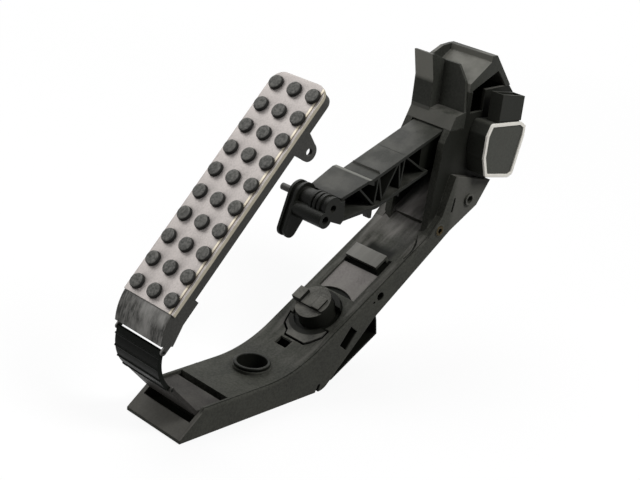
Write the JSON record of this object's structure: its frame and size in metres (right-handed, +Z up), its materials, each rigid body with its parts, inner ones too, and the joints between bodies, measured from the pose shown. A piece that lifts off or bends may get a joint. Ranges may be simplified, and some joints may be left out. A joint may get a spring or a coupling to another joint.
{
  "type": "accelerator pedal",
  "caption": "Floor-hinged electronic accelerator pedal: studded steel tread on a hinged strap, ribbed base, kickdown switch, lever and position sensor on a tower",
  "frame": {"origin": "centre of the front fixing hole at floor level, where the base stands on the floor", "axes": "+X to the driver's right, +Y from the heel towards the tower, +Z up from the floor"},
  "size_m": [0.0751, 0.3478, 0.238],
  "materials": {
    "black_plastic": "fine moulded grain",
    "strap_plastic": "satin, slightly flexible",
    "bush_plastic": "smooth moulded",
    "grey_plastic": "smooth, slightly warm grey",
    "switch_plastic": "smooth moulded",
    "pin_plastic": "smooth moulded",
    "pale_seal": "matt pale grey",
    "pale_plastic": "natural moulded",
    "rubber": "matt with worn rims",
    "tread_steel": "brushed along the tread",
    "shaft_steel": "ground",
    "spring_steel": "drawn wire",
    "brass": "turned",
    "magnet": "sintered",
    "board": "coated circuit board"
  },
  "bodies": {
    "base": {"base_housing": "black_plastic", "hinge_foot": "black_plastic", "fixing_bush": "bush_plastic", "side_bush": "brass", "trough_cover": "grey_plastic", "kickdown_body": "black_plastic", "kickdown_spring": "spring_steel", "tower_cover": "black_plastic", "tower_cap": "black_plastic", "stop_buffer": "rubber", "return_springs": "spring_steel", "shaft_bushes": "brass", "sensor_housing": "black_plastic", "sensor_board": "board", "sensor_cover": "black_plastic", "cover_seal": "pale_seal", "connector_pins": "brass"},
    "kickdown": {"kickdown_cap": "switch_plastic"},
    "strap": {"hinge_strap": "strap_plastic"},
    "pedal": {"pedal_carrier": "black_plastic", "stud_mat": "rubber", "tread_plate": "tread_steel"},
    "lever": {"lever_arm": "black_plastic", "lever_shaft": "shaft_steel", "sensor_rotor": "pale_plastic", "rotor_magnet": "magnet", "link_pin": "pin_plastic"}
  },
  "joints": [
    {"name": "strap_hinge", "type": "hinge", "parent": "base", "child": "strap", "pos_m": [0, -0.097, 0.0412], "axis": [-1, 0, 0], "range_deg": [-5, 5]},
    {"name": "pedal_hinge", "type": "hinge", "parent": "strap", "child": "pedal", "pos_m": [0, -0.1069, 0.0724], "axis": [-1, 0, 0], "range_deg": [-6, 12]},
    {"name": "lever_pivot", "type": "hinge", "parent": "base", "child": "lever", "pos_m": [0, 0.2056, 0.168], "axis": [1, 0, 0], "range_deg": [0, 15.5], "stiffness_Nm_per_rad": 0.5, "springref_deg": -22.92},
    {"name": "kickdown_slide", "type": "slide", "parent": "base", "child": "kickdown", "axis": [0, 0.527, -0.8499], "range_m": [0, 0.003], "stiffness_N_per_m": 4000, "springref_m": -0.002, "deforming": ["kickdown_spring"]}
  ]
}
